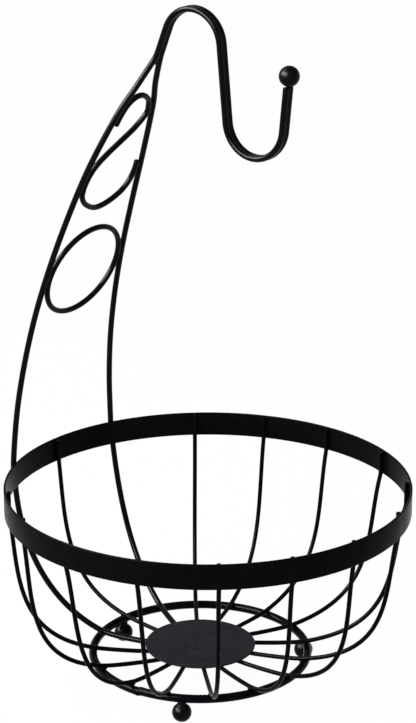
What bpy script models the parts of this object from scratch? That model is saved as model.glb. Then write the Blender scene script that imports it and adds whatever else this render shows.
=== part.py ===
# Fruit bowl of welded wire, with a flat rim band and a two-wire banana hanger.
# Metres, +Z up. The origin is on the bowl's axis, on the surface that the feet stand on.
# The hanger stands over +Y, and its hook reaches forward, towards -Y.

import math

import bmesh
import bpy
from mathutils import Quaternion, Vector

# Space left between welded neighbours, so that each piece stays a solid of its own
WELD_GAP = 0.0003

# Rim band: a flat strip rolled into a hoop
RIM_DIAMETER = 0.271
BOWL_HEIGHT = 0.1386
BAND_HEIGHT = 0.0169
BAND_THICKNESS = 0.0015
BAND_EDGE_RADIUS = 0.0003

# Base ring and feet. They and the plate are set a few millimetres off the rim's axis, as on the
# hand-welded bowl. Each foot is a ball with a short weld neck under the ring. Its place is a turn in
# degrees from the hanger, counter-clockwise from above, and how far it is set out from the ring's middle.
BASE_SET_LEFT = 0.0036
BASE_SET_BACK = 0.0038
BASE_RING_DIAMETER = 0.1458
BASE_RING_WIRE = 0.0056
FOOT_BALL = 0.0129
FOOT_FLAT_DEPTH = 0.00035
FOOT_NECK_WIDTH = 0.0058
FOOT_NECK_LENGTH = 0.0004
FOOT_PLACES = ((-4.1, 0), (118.6, 0), (-125, 0.0015))

# Round plate in the middle of the floor
PLATE_DIAMETER = 0.0746
PLATE_THICKNESS = 0.0012
PLATE_TOP_HEIGHT = 0.0213
PLATE_EDGE_RADIUS = 0.0003
WIRE_UNDER_PLATE = 0.008

# Ribs. The first three numbers of each are where the rib meets the band, crosses the base ring and goes
# under the plate's edge: degrees from the hanger, counter-clockwise from above, a little uneven, as they
# were bent and welded by hand. The fourth is its lean under the band, in degrees.
RIB_WIRE = 0.0030
RIB_TOP_DROP = 0.0007
RIB_BENDS = (
    (0.1, -3.4, -2.7, 6.2), (44.5, 42.8, 48.6, 7.6), (64.4, 65.6, 72.1, 7.4), (85.6, 90.1, 90.2, 14.3),
    (108.7, 111.3, 108.9, 17.5), (130.9, 133.6, 132.4, 12.4), (151.2, 155.1, 152.1, 10.7),
    (171.7, 177.7, 177.6, 9.9), (196.1, 199.5, 201.7, 11.6), (218.8, 221.2, 227.9, 14.8),
    (243.7, 243.5, 248.1, 14.7), (268.7, 267.2, 268.9, 13.4), (290.4, 289.7, 291.8, 13.9),
    (312.1, 310.9, 311.8, 11.9),
)

# How a bowl wire bends between the band and the plate: its slope over the base ring, in degrees, and
# its curve handles as shares of the width and height of the bend
RIB_FLOOR_SLOPE = 11.5
RIB_FLOOR_PULL_SHARE = 1.01
RIB_SIDE_PULL_SHARE = 0.42
HANGER_FLOOR_SLOPE = 21
HANGER_FLOOR_PULL_SHARE = 0.76
HANGER_SIDE_PULL_SHARE = 0.385
DISH_PULL_SHARE = 0.22

# Hanger wires. The bends are as the ribs' own, for the left and for the right wire. Each row of
# shares is a place on the way up from the rim to where the wires meet: how much of the rise and of the
# way forward is done there, and how much of the wires' spread is left.
HANGER_WIRE = 0.0040
HANGER_HALF_ANGLE = 21.7
HANGER_LEFT_BENDS = (20.9, 21.4, 24.6, 2.9)
HANGER_RIGHT_BENDS = (-22.3, -27.4, -25.6, 11.9)
MEET_RISE = 0.2817
MEET_REACH = 0.0397
MEET_BEND_LENGTH = 0.003
HANGER_SHARES = (
    (0.124, 0.021, 0.941), (0.247, 0.076, 0.871), (0.371, 0.165, 0.800), (0.494, 0.285, 0.720),
    (0.618, 0.430, 0.629), (0.741, 0.591, 0.514), (0.865, 0.775, 0.324), (0.93, 0.880, 0.152), (1, 1, 0),
)

# Hook: the two wires side by side. The leans are degrees from upright.
RISE_LEAN = 22
LEG_LEAN = 5.7
RISE_LENGTH = 0.0206
TOP_BEND_RADIUS = 0.0222
DROP_LENGTH = 0.0487
SEAT_BEND_RADIUS = 0.0220
TIP_LENGTH = 0.0285
HOOK_BALL = 0.0131

# Oval ring and scroll, welded between the hanger wires. Their heights are shares of the way up from the
# rim to where the wires meet.
ORNAMENT_WIRE = 0.0038
OVAL_CENTRE_SHARE = 0.4555
OVAL_LENGTH = 0.0611
OVAL_TILT = 20
SCROLL_LOW_SHARE = 0.6219
SCROLL_HIGH_SHARE = 0.9016
# Each point of the scroll: its share of the scroll's height, and of the half-width between the wires
SCROLL_SHARES = (
    (0.765, 0.93), (0.86, 0.97), (0.945, 0.92), (0.995, 0.50), (0.995, -0.25), (0.945, -0.86),
    (0.87, -0.98), (0.80, -0.90), (0.69, -0.38), (0.593, 0.16), (0.50, 0.60), (0.411, 0.88),
    (0.32, 0.98), (0.22, 0.98), (0.132, 0.88), (0.054, 0.62), (0.0, 0.22), (0.02, -0.20),
    (0.086, -0.60), (0.17, -0.84), (0.26, -0.95), (0.35, -0.98),
)

# How finely the round forms are cut
RIB_SIDES = 8
HANGER_SIDES = 10
ORNAMENT_SIDES = 8
RING_SIDES = 10
HOOP_STEPS = 96
RING_STEPS = 64
OVAL_STEPS = 36
OVAL_FIT_STEPS = 40
RIB_STEPS = 12
DISH_STEPS = 4
RISE_STEPS = 3
MEET_STEPS = 3
BEND_STEPS = 10
SCROLL_STEPS = 2
BALL_SEGMENTS = 16
BALL_RINGS = 10
EDGE_STEPS = 1
AXIS_REACH = 0.00001

# Heights and radii that follow from the sizes above
rim_radius = RIM_DIAMETER / 2
base_centre = Vector((-BASE_SET_LEFT, BASE_SET_BACK, 0))
band_bottom = BOWL_HEIGHT - BAND_HEIGHT
ring_radius = BASE_RING_DIAMETER / 2
foot_height = FOOT_BALL / 2 - FOOT_FLAT_DEPTH
ring_bottom = foot_height + FOOT_BALL / 2 + FOOT_NECK_LENGTH + WELD_GAP
ring_height = ring_bottom + BASE_RING_WIRE / 2
plate_radius = PLATE_DIAMETER / 2
plate_bottom = PLATE_TOP_HEIGHT - PLATE_THICKNESS
pair_offset = (HANGER_WIRE + WELD_GAP) / 2
ornament_offset = (HANGER_WIRE + ORNAMENT_WIRE) / 2 + WELD_GAP


def coat(name, colour, roughness):
    """Black powder coat for one piece."""
    material = bpy.data.materials.new(name + "_coat")
    material.use_nodes = True
    shader = material.node_tree.nodes["Principled BSDF"]
    shader.inputs["Base Color"].default_value = (*colour, 1)
    shader.inputs["Roughness"].default_value = roughness
    shader.inputs["Metallic"].default_value = 0
    material.diffuse_color = (*colour, 1)
    return material


def place_piece(name, data, parent, colour=(0.013, 0.013, 0.015), roughness=0.42):
    """Link one named piece and give it its own coat."""
    piece = bpy.data.objects.new(name, data)
    bpy.context.scene.collection.objects.link(piece)
    piece.parent = parent
    if not data.materials:
        data.materials.append(None)
    slot = piece.material_slots[0]
    slot.link = "OBJECT"
    slot.material = coat(name, colour, roughness)
    return piece


def bezier(start, start_handle, end_handle, end, steps):
    """Points along one cubic curve, both ends included."""
    points = []
    for step in range(steps + 1):
        t = step / steps
        u = 1 - t
        points.append(u**3 * start + 3 * u * u * t * start_handle + 3 * u * t * t * end_handle + t**3 * end)
    return points


def smooth_run(corners, steps):
    """Points along a smooth line through every corner, which runs out straight at both ends."""
    points = []
    last = len(corners) - 1
    for index in range(last):
        here, there = corners[index], corners[index + 1]
        if index > 0:
            start_handle = here + (there - corners[index - 1]) / 6
        if index < last - 1:
            end_handle = there - (corners[index + 2] - here) / 6
        else:
            end_handle = (start_handle + there) / 2
        if index == 0:
            start_handle = (here + end_handle) / 2
        points += bezier(here, start_handle, end_handle, there, steps)[:-1]
    points.append(corners[last])
    return points


def wire_curve(name, points, diameter, sides, closed=False):
    """A round wire along the points."""
    curve = bpy.data.curves.new(name, "CURVE")
    curve.dimensions = "3D"
    curve.bevel_depth = diameter / 2
    curve.bevel_resolution = sides // 2 - 2
    curve.use_fill_caps = not closed
    line = curve.splines.new("POLY")
    line.points.add(len(points) - 1)
    for knot, place in zip(line.points, points):
        knot.co = (*place, 1)
    line.use_cyclic_u = closed
    return curve


def around(centre, radius, turn, height=0.0):
    """A place at a radius from a centre, at a turn in degrees from the hanger."""
    azimuth = math.radians(90 + turn)
    return Vector((centre.x + radius * math.cos(azimuth), centre.y + radius * math.sin(azimuth), height))


def level_way(start, end):
    """Level direction and length of the way from one place to another."""
    way = Vector((end.x - start.x, end.y - start.y, 0))
    return way.normalized(), way.length


def bowl_wire_path(diameter, side_radius, bends, slope, floor_pull_share, side_pull_share):
    """A bowl wire from under the plate, over the base ring and up to the band's lower edge."""
    band_turn, ring_turn, plate_turn, lean = bends
    clear = BASE_RING_WIRE / 2 + WELD_GAP + diameter / 2
    slope, lean = math.radians(slope), math.radians(lean)
    crossing_radius = ring_radius - clear * math.sin(slope)
    crossing = around(base_centre, crossing_radius, ring_turn, ring_height + clear * math.cos(slope))
    band_foot = around(Vector(), side_radius, band_turn, band_bottom)
    plate_edge = around(base_centre, plate_radius, plate_turn, plate_bottom - WELD_GAP - diameter / 2)
    outward, width = level_way(crossing, band_foot)
    spoke, dish = level_way(plate_edge, crossing)
    over_ring = (outward + spoke).normalized()
    uphill = math.cos(slope) * over_ring + math.sin(slope) * Vector((0, 0, 1))
    downhill = -math.sin(lean) * outward - math.cos(lean) * Vector((0, 0, 1))
    side_pull = side_pull_share * (band_foot.z - crossing.z)
    inner_end = plate_edge - WIRE_UNDER_PLATE * spoke
    floor_run = bezier(
        plate_edge,
        plate_edge + DISH_PULL_SHARE * dish * spoke,
        crossing - DISH_PULL_SHARE * dish * uphill,
        crossing,
        DISH_STEPS,
    )
    side_run = bezier(
        crossing,
        crossing + floor_pull_share * width * uphill,
        band_foot + side_pull * downhill,
        band_foot,
        RIB_STEPS,
    )
    return [inner_end] + floor_run[:-1] + side_run


def hanger_side_radius():
    """Distance of a hanger wire from the bowl's axis where it passes outside the band."""
    return rim_radius + WELD_GAP + HANGER_WIRE / 2


def hanger_rise():
    """(spread, reach, height) points of a hanger wire from the band's lower edge to the meeting."""
    half_angle = math.radians(HANGER_HALF_ANGLE)
    spread = hanger_side_radius() * math.sin(half_angle)
    reach = hanger_side_radius() * math.cos(half_angle)
    corners = [Vector((spread, reach, band_bottom)), Vector((spread, reach, BOWL_HEIGHT))]
    for rise_share, reach_share, spread_share in HANGER_SHARES:
        corners.append(Vector((
            pair_offset + spread_share * (spread - pair_offset),
            reach + reach_share * (MEET_REACH - reach),
            BOWL_HEIGHT + rise_share * MEET_RISE,
        )))
    return smooth_run(corners, RISE_STEPS)


def hanger_at(rise):
    """Place and direction, (spread, reach, height), of a hanger wire at a height above the rim."""
    points = hanger_rise()
    height = BOWL_HEIGHT + rise
    index = max(number for number, point in enumerate(points[:-1]) if point.z <= height)
    low, high = points[index], points[index + 1]
    part_way = (height - low.z) / (high.z - low.z)
    before, after = points[index - 1], points[min(index + 2, len(points) - 1)]
    slope = (high - before).lerp(after - low, part_way).normalized()
    return low.lerp(high, part_way), slope


def rounded_corner(before, corner, after, length, steps):
    """Points round a corner, from one length ahead of it to one length past it."""
    start = corner + length * (before - corner).normalized()
    end = corner + length * (after - corner).normalized()
    pull = 2 / 3
    return bezier(start, start.lerp(corner, pull), end.lerp(corner, pull), end, steps)


def hook_heading(angle):
    """(reach, height) direction at an angle from upright, turned towards the front."""
    return Vector((-math.sin(angle), math.cos(angle)))


def hook_bend(start, first_angle, last_angle, radius):
    """(reach, height) points round a bend, without its start."""
    side = 1 if last_angle > first_angle else -1
    centre = start - side * radius * Vector((math.cos(first_angle), math.sin(first_angle)))
    points = []
    for step in range(1, BEND_STEPS + 1):
        angle = first_angle + (last_angle - first_angle) * step / BEND_STEPS
        points.append(centre + side * radius * Vector((math.cos(angle), math.sin(angle))))
    return points


def hook_path():
    """(reach, height) centre line of the hook, from the meeting to the tip."""
    rise_angle = math.radians(RISE_LEAN)
    drop_angle = math.pi - math.radians(LEG_LEAN)
    tip_angle = math.radians(LEG_LEAN)
    path = [Vector((MEET_REACH, BOWL_HEIGHT + MEET_RISE))]
    path.append(path[-1] + RISE_LENGTH * hook_heading(rise_angle))
    path += hook_bend(path[-1], rise_angle, drop_angle, TOP_BEND_RADIUS)
    path.append(path[-1] + DROP_LENGTH * hook_heading(drop_angle))
    path += hook_bend(path[-1], drop_angle, tip_angle, SEAT_BEND_RADIUS)
    path.append(path[-1] + TIP_LENGTH * hook_heading(tip_angle))
    return path


def hanger_path(side, bends):
    """Whole centre line of a hanger wire, from under the plate to the hook's tip. Side is -1 or 1."""
    path = bowl_wire_path(
        HANGER_WIRE,
        hanger_side_radius(),
        bends,
        HANGER_FLOOR_SLOPE,
        HANGER_FLOOR_PULL_SHARE,
        HANGER_SIDE_PULL_SHARE,
    )
    rise = [Vector((side * p.x, p.y, p.z)) for p in hanger_rise()]
    slant = math.radians(bends[0] + side * HANGER_HALF_ANGLE)
    for step in range(RISE_STEPS):
        rise[step].rotate(Quaternion((0, 0, 1), slant * (1 - step / RISE_STEPS)))
    hook = [Vector((side * pair_offset, p.x, p.y)) for p in hook_path()[1:]]
    meeting = rounded_corner(rise[-2], rise[-1], hook[0], MEET_BEND_LENGTH, MEET_STEPS)
    return path[:-1] + rise[:-1] + meeting + hook


def make_rim_band(parent):
    work = bmesh.new()
    bmesh.ops.create_circle(work, segments=HOOP_STEPS, radius=rim_radius)
    raised = bmesh.ops.extrude_edge_only(work, edges=work.edges)
    top = [part for part in raised["geom"] if isinstance(part, bmesh.types.BMVert)]
    bmesh.ops.translate(work, verts=top, vec=(0, 0, BAND_HEIGHT))
    bmesh.ops.recalc_face_normals(work, faces=work.faces)
    mesh = bpy.data.meshes.new("rim_band")
    work.to_mesh(mesh)
    work.free()
    band = place_piece("rim_band", mesh, parent)
    band.location.z = band_bottom
    wall = band.modifiers.new("wall", "SOLIDIFY")
    wall.thickness = BAND_THICKNESS
    wall.offset = -1
    wall.use_even_offset = True
    edge = band.modifiers.new("rolled_edges", "BEVEL")
    edge.width = BAND_EDGE_RADIUS
    edge.segments = EDGE_STEPS
    edge.limit_method = "ANGLE"
    mesh.shade_smooth()
    return band


def make_ribs(parent):
    side_radius = rim_radius - BAND_THICKNESS - WELD_GAP - RIB_WIRE / 2
    for number, bends in enumerate(RIB_BENDS, 1):
        path = bowl_wire_path(
            RIB_WIRE,
            side_radius,
            bends,
            RIB_FLOOR_SLOPE,
            RIB_FLOOR_PULL_SHARE,
            RIB_SIDE_PULL_SHARE,
        )
        path.append(around(Vector(), side_radius, bends[0], BOWL_HEIGHT - RIB_TOP_DROP))
        name = f"rib_{number:02d}"
        place_piece(name, wire_curve(name, path, RIB_WIRE, RIB_SIDES), parent)


def make_hanger_wires(parent):
    left = hanger_path(-1, HANGER_LEFT_BENDS)
    right = hanger_path(1, HANGER_RIGHT_BENDS)
    for name, path in (("hanger_wire_left", left), ("hanger_wire_right", right)):
        place_piece(name, wire_curve(name, path, HANGER_WIRE, HANGER_SIDES), parent)


def make_base_ring(parent):
    points = [around(Vector(), ring_radius, 360 * step / RING_STEPS) for step in range(RING_STEPS)]
    curve = wire_curve("base_ring", points, BASE_RING_WIRE, RING_SIDES, closed=True)
    ring = place_piece("base_ring", curve, parent)
    ring.location = (base_centre.x, base_centre.y, ring_height)


def make_plate(parent):
    work = bmesh.new()
    bmesh.ops.create_cone(
        work,
        cap_ends=True,
        segments=RING_STEPS,
        radius1=plate_radius,
        radius2=plate_radius,
        depth=PLATE_THICKNESS,
    )
    mesh = bpy.data.meshes.new("centre_plate")
    work.to_mesh(mesh)
    work.free()
    plate = place_piece("centre_plate", mesh, parent, colour=(0.018, 0.019, 0.021), roughness=0.5)
    plate.location = (base_centre.x, base_centre.y, plate_bottom + PLATE_THICKNESS / 2)
    edge = plate.modifiers.new("pressed_edge", "BEVEL")
    edge.width = PLATE_EDGE_RADIUS
    edge.segments = EDGE_STEPS
    edge.limit_method = "ANGLE"
    mesh.shade_smooth()
    mesh.set_sharp_from_angle(angle=math.radians(60))


def turned_mesh(name, profile):
    """A closed body turned about the upright axis, from (radius, height) points bottom to top."""
    work = bmesh.new()
    rows = []
    for radius, height in profile:
        if radius < AXIS_REACH:
            rows.append([work.verts.new((0, 0, height))])
            continue
        turns = [math.tau * step / BALL_SEGMENTS for step in range(BALL_SEGMENTS)]
        rows.append([work.verts.new((radius * math.cos(t), radius * math.sin(t), height)) for t in turns])
    for low, high in zip(rows, rows[1:]):
        for step in range(BALL_SEGMENTS):
            after = (step + 1) % BALL_SEGMENTS
            if len(low) == 1:
                work.faces.new((low[0], high[after], high[step]))
            elif len(high) == 1:
                work.faces.new((low[step], low[after], high[0]))
            else:
                work.faces.new((low[step], low[after], high[after], high[step]))
    if len(rows[0]) > 1:
        work.faces.new(list(reversed(rows[0])))
    if len(rows[-1]) > 1:
        work.faces.new(rows[-1])
    mesh = bpy.data.meshes.new(name)
    work.to_mesh(mesh)
    work.free()
    mesh.shade_smooth()
    mesh.set_sharp_from_angle(angle=math.radians(50))
    return mesh


def ball_profile(diameter, low, high):
    """(radius, height) points of a ball about its own centre, between two heights."""
    first, last = math.asin(2 * low / diameter), math.asin(2 * high / diameter)
    points = []
    for step in range(BALL_RINGS + 1):
        angle = first + (last - first) * step / BALL_RINGS
        points.append((diameter / 2 * math.cos(angle), diameter / 2 * math.sin(angle)))
    return points


def make_feet(parent):
    neck_radius = FOOT_NECK_WIDTH / 2
    neck_foot = math.sqrt((FOOT_BALL / 2) ** 2 - neck_radius**2)
    neck_top = FOOT_BALL / 2 + FOOT_NECK_LENGTH
    profile = ball_profile(FOOT_BALL, -foot_height, neck_foot) + [(neck_radius, neck_top)]
    for number, (turn, set_out) in enumerate(FOOT_PLACES, 1):
        name = f"foot_ball_{number}"
        foot = place_piece(name, turned_mesh(name, profile), parent)
        foot.location = around(base_centre, ring_radius + set_out, turn, foot_height)


def make_hook_ball(parent):
    tip = hook_path()[-1]
    centre = tip + (WELD_GAP + HOOK_BALL / 2) * hook_heading(math.radians(LEG_LEAN))
    profile = ball_profile(HOOK_BALL, -HOOK_BALL / 2, HOOK_BALL / 2)
    ball = place_piece("hook_ball", turned_mesh("hook_ball", profile), parent)
    ball.location = (0, centre.x, centre.y)
    ball.rotation_euler.x = math.radians(LEG_LEAN)


def oval_reach(half_width, half_length, angle):
    """How far an oval reaches, at an angle in its plane from its width."""
    return math.hypot(half_width * math.cos(angle), half_length * math.sin(angle))


def make_oval_ring(parent):
    centre, along = hanger_at(OVAL_CENTRE_SHARE * MEET_RISE)
    uphill = Vector((0, along.y, along.z)).normalized()
    squeeze = math.atan2(-along.x, Vector((along.y, along.z)).length)
    tilt = math.radians(OVAL_TILT)
    half_length = OVAL_LENGTH / 2
    reach = centre.x * math.cos(squeeze) - ornament_offset
    narrow, wide = 0, 2 * reach
    for _ in range(OVAL_FIT_STEPS):
        half_width = (narrow + wide) / 2
        right = oval_reach(half_width, half_length, squeeze - tilt)
        left = oval_reach(half_width, half_length, squeeze + tilt)
        if right + left > 2 * reach:
            wide = half_width
        else:
            narrow = half_width
    points = []
    for step in range(OVAL_STEPS):
        turn = math.tau * step / OVAL_STEPS
        across, up = half_width * math.cos(turn), half_length * math.sin(turn)
        sideways = across * math.cos(tilt) - up * math.sin(tilt)
        points.append(Vector((sideways, 0, 0)) + (across * math.sin(tilt) + up * math.cos(tilt)) * uphill)
    curve = wire_curve("oval_ring", points, ORNAMENT_WIRE, ORNAMENT_SIDES, closed=True)
    oval = place_piece("oval_ring", curve, parent)
    oval.location = ((reach - right) / math.cos(squeeze), centre.y, centre.z)


def make_scroll(parent):
    corners = []
    for height_share, width_share in SCROLL_SHARES:
        rise_share = SCROLL_LOW_SHARE + height_share * (SCROLL_HIGH_SHARE - SCROLL_LOW_SHARE)
        place, along = hanger_at(rise_share * MEET_RISE)
        upright = Vector((along.y, along.z)).length
        half_width = place.x - ornament_offset / upright
        corners.append(Vector((-width_share * half_width, place.y, place.z)))
    curve = wire_curve("scroll", smooth_run(corners, SCROLL_STEPS), ORNAMENT_WIRE, ORNAMENT_SIDES)
    place_piece("scroll", curve, parent)


def build():
    for leftover in list(bpy.data.objects):
        bpy.data.objects.remove(leftover)
    bowl = bpy.data.objects.new("fruit_bowl", None)
    bpy.context.scene.collection.objects.link(bowl)
    make_rim_band(bowl)
    make_ribs(bowl)
    make_hanger_wires(bowl)
    make_base_ring(bowl)
    make_plate(bowl)
    make_feet(bowl)
    make_hook_ball(bowl)
    make_oval_ring(bowl)
    make_scroll(bowl)


build()
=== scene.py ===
# Looks of the wire fruit bowl with its banana hanger, in metres, +Z up, the hanger over +Y
import math

import bmesh
import bpy
from mathutils import Matrix, Quaternion, Vector, noise


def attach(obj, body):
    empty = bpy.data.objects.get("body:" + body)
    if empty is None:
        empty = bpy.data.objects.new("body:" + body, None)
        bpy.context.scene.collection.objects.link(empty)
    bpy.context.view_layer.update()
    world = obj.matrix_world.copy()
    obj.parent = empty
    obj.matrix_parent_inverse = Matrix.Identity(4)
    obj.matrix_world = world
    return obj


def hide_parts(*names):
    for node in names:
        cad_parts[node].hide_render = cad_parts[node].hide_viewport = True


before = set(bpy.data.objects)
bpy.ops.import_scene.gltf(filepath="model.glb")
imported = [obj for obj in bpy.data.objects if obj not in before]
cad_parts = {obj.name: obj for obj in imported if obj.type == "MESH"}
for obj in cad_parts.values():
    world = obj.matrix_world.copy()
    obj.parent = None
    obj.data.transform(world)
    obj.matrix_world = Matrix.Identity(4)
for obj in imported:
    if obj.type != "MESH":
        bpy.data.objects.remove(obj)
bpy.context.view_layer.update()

print("frame loaded")

# Sizes that the wires, the base ring and the plate share
bowl = {
    "rimRadius": 0.1355,
    "height": 0.1386,
    "bandHeight": 0.0169,
    "bandThickness": 0.0015,
    "weldGap": 0.0003,
    "ringCentre": Vector((-0.0036, 0.0038, 0)),
    "ringRadius": 0.0729,
    "ringWire": 0.0056,
    "ringHeight": 0.01605,
    "plateRadius": 0.0373,
    "plateTop": 0.0213,
    "plateThickness": 0.0012,
    "underPlate": 0.008,  # how far each wire reaches in under the plate
    "endSteps": 4,
    "floorSteps": 14,
    "sideSteps": 44,
}
bandBottom = bowl["height"] - bowl["bandHeight"]
plateBottom = bowl["plateTop"] - bowl["plateThickness"]
up = Vector((0, 0, 1))


# Paths

def around(centre, radius, turn, height=0.0):
    # a place at a turn in degrees from the hanger, counter-clockwise from above
    azimuth = math.radians(90 + turn)
    return Vector((centre.x + radius * math.cos(azimuth), centre.y + radius * math.sin(azimuth), height))


def bezier(start, startHandle, endHandle, end, steps):
    points = []
    for step in range(steps + 1):
        t = step / steps
        u = 1 - t
        points.append(u**3 * start + 3 * u * u * t * startHandle + 3 * u * t * t * endHandle + t**3 * end)
    return points


def smoothRun(corners, steps):
    # a smooth line through every corner, which runs out straight at both ends
    points = []
    last = len(corners) - 1
    for index in range(last):
        here, there = corners[index], corners[index + 1]
        if index > 0:
            startHandle = here + (there - corners[index - 1]) / 6
        if index < last - 1:
            endHandle = there - (corners[index + 2] - here) / 6
        else:
            endHandle = (startHandle + there) / 2
        if index == 0:
            startHandle = (here + endHandle) / 2
        points += bezier(here, startHandle, endHandle, there, steps)[:-1]
    points.append(corners[last])
    return points


def levelWay(start, end):
    # level direction and length of the way from one place to another
    way = Vector((end.x - start.x, end.y - start.y, 0))
    return way.normalized(), way.length


def bowlWirePath(wire, sideRadius, bends, shape):
    # from under the plate, over the base ring and up to the band's lower edge; also the places and
    # directions of its welds on the ring and under the plate
    bandTurn, ringTurn, plateTurn, lean = bends
    clear = bowl["ringWire"] / 2 + bowl["weldGap"] + wire / 2
    slope, lean = math.radians(shape["floorSlope"]), math.radians(lean)
    crossingRadius = bowl["ringRadius"] - clear * math.sin(slope)
    crossingHeight = bowl["ringHeight"] + clear * math.cos(slope)
    crossing = around(bowl["ringCentre"], crossingRadius, ringTurn, crossingHeight)
    bandFoot = around(Vector(), sideRadius, bandTurn, bandBottom)
    plateEdgeHeight = plateBottom - bowl["weldGap"] - wire / 2
    plateEdge = around(bowl["ringCentre"], bowl["plateRadius"], plateTurn, plateEdgeHeight)
    outward, width = levelWay(crossing, bandFoot)
    spoke, dish = levelWay(plateEdge, crossing)
    uphill = math.cos(slope) * (outward + spoke).normalized() + math.sin(slope) * up
    downhill = -math.sin(lean) * outward - math.cos(lean) * up
    sidePull = shape["sidePull"] * (bandFoot.z - crossing.z)
    innerEnd = plateEdge - bowl["underPlate"] * spoke
    dishPull = shape["dishPull"] * dish
    floorRun = bezier(
        plateEdge,
        plateEdge + dishPull * spoke,
        crossing - dishPull * uphill,
        crossing,
        bowl["floorSteps"],
    )
    sideRun = bezier(
        crossing,
        crossing + shape["floorPull"] * width * uphill,
        bandFoot + sidePull * downhill,
        bandFoot,
        bowl["sideSteps"],
    )
    endRun = [innerEnd.lerp(plateEdge, step / bowl["endSteps"]) for step in range(bowl["endSteps"])]
    return endRun + floorRun[:-1] + sideRun, crossing, uphill, innerEnd.lerp(plateEdge, 0.5), spoke


# Solid forms

def finishMesh(name, work, sharpAngle=40):
    bmesh.ops.recalc_face_normals(work, faces=work.faces)
    mesh = bpy.data.meshes.new(name)
    work.to_mesh(mesh)
    work.free()
    mesh.shade_smooth()
    mesh.set_sharp_from_angle(angle=math.radians(sharpAngle))
    piece = bpy.data.objects.new(name, mesh)
    bpy.context.scene.collection.objects.link(piece)
    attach(piece, "root")
    return piece


def loftRows(work, rows, closed):
    # faces between neighbouring rows of vertices, with flat ends on an open loft
    pairs = list(zip(rows, rows[1:]))
    if closed:
        pairs.append((rows[-1], rows[0]))
    for low, high in pairs:
        count = len(low)
        for step in range(count):
            after = (step + 1) % count
            work.faces.new((low[step], low[after], high[after], high[step]))
    if not closed:
        work.faces.new(list(reversed(rows[0])))
        work.faces.new(rows[-1])


def wireFrames(points, closed):
    # direction and side of the wire at each point, carried along without twist
    count = len(points)
    frames = []
    side = None
    for index in range(count):
        if closed:
            ahead, behind = points[(index + 1) % count], points[index - 1]
        else:
            ahead, behind = points[min(index + 1, count - 1)], points[max(index - 1, 0)]
        direction = (ahead - behind).normalized()
        if side is None:
            side = direction.orthogonal().normalized()
        else:
            side = (side - side.dot(direction) * direction).normalized()
        frames.append((direction, side.copy()))
    if closed:
        first, last = frames[0][1], frames[-1][1]
        leftover = last.angle(first, 0) * (1 if last.cross(first).dot(frames[0][0]) > 0 else -1)
        for index in range(count):
            direction, carried = frames[index]
            frames[index] = (direction, Quaternion(direction, leftover * index / count) @ carried)
    return frames


def sweepWire(name, path, wire, closed=False, sides=18, swells=None, cutBevel=0.00035):
    # a round wire, its sheared ends a little rounded; swells are factors on its width, one for each place
    points = [Vector(place) for place in path]
    frames = wireFrames(points, closed)
    radii = [wire / 2 * swell for swell in swells or [1] * len(points)]
    if not closed:
        for end, inward in ((0, 1), (-1, -1)):
            point, aim, radius = points[end], frames[end], radii[end]
            points[end] = point + cutBevel * (aim[0] * inward)
            outside = 0 if end == 0 else len(points)
            points.insert(outside, point)
            frames.insert(outside, aim)
            radii.insert(outside, radius - cutBevel)
    work = bmesh.new()
    rows = []
    for point, (direction, side), radius in zip(points, frames, radii):
        third = direction.cross(side)
        row = []
        for step in range(sides):
            turn = math.tau * step / sides
            row.append(work.verts.new(point + radius * (math.cos(turn) * side + math.sin(turn) * third)))
        rows.append(row)
    loftRows(work, rows, closed)
    return finishMesh(name, work)


def turnedBody(name, profile, segments, place, tilt=0.0, sharpAngle=40):
    # a body turned about the upright axis, from (radius, height) points bottom to top
    work = bmesh.new()
    pose = Matrix.Translation(place) @ Matrix.Rotation(tilt, 4, "X")
    rows = []
    for radius, height in profile:
        row = []
        for step in range(segments):
            turn = math.tau * step / segments
            spot = Vector((radius * math.cos(turn), radius * math.sin(turn), height))
            row.append(work.verts.new(pose @ spot))
        rows.append(row)
    loftRows(work, rows, False)
    return finishMesh(name, work, sharpAngle)


beadSkin = {
    "unevenness": 0.10,
    "lumpScale": 1.7,
    "seedSpread": 3.1,
}


def addBead(work, place, along, facing, halfSizes, seed):
    # one lump of weld metal with an uneven skin; its half sizes go along, across and outward
    halfLength, halfWidth, halfDepth = halfSizes
    along = along.normalized()
    facing = (facing - facing.dot(along) * along).normalized()
    across = facing.cross(along)
    made = bmesh.ops.create_icosphere(work, subdivisions=3, radius=1)
    for vert in made["verts"]:
        spot = vert.co * beadSkin["lumpScale"] + Vector((seed * beadSkin["seedSpread"], seed, 0))
        local = vert.co * (1 + beadSkin["unevenness"] * noise.noise(spot))
        length, width, depth = local.x * halfLength, local.y * halfWidth, local.z * halfDepth
        vert.co = place + length * along + width * across + depth * facing


# Coat materials

coatField = {
    "low": 0.35,  # the noise values between which the tone and the gloss run from end to end
    "high": 0.65,
    "finePatch": 4.3,  # how much finer the small patches are than the large ones
    "dustLean": 0.55,  # dust lies where the surface's normal rises by more than this
}


def newGroup(name, inputs, outputs):
    group = bpy.data.node_groups.new(name, "ShaderNodeTree")
    for label, kind, value in inputs:
        socket = group.interface.new_socket(label, in_out="INPUT", socket_type=kind)
        socket.default_value = value
    for label, kind in outputs:
        group.interface.new_socket(label, in_out="OUTPUT", socket_type=kind)
    entry = group.nodes.new("NodeGroupInput")
    leave = group.nodes.new("NodeGroupOutput")
    return group, entry, leave


def mathNode(tree, operation, first, second):
    node = tree.nodes.new("ShaderNodeMath")
    node.operation = operation
    for socket, value in zip(node.inputs, (first, second)):
        if isinstance(value, (int, float)):
            socket.default_value = value
        else:
            tree.links.new(value, socket)
    return node.outputs[0]


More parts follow.
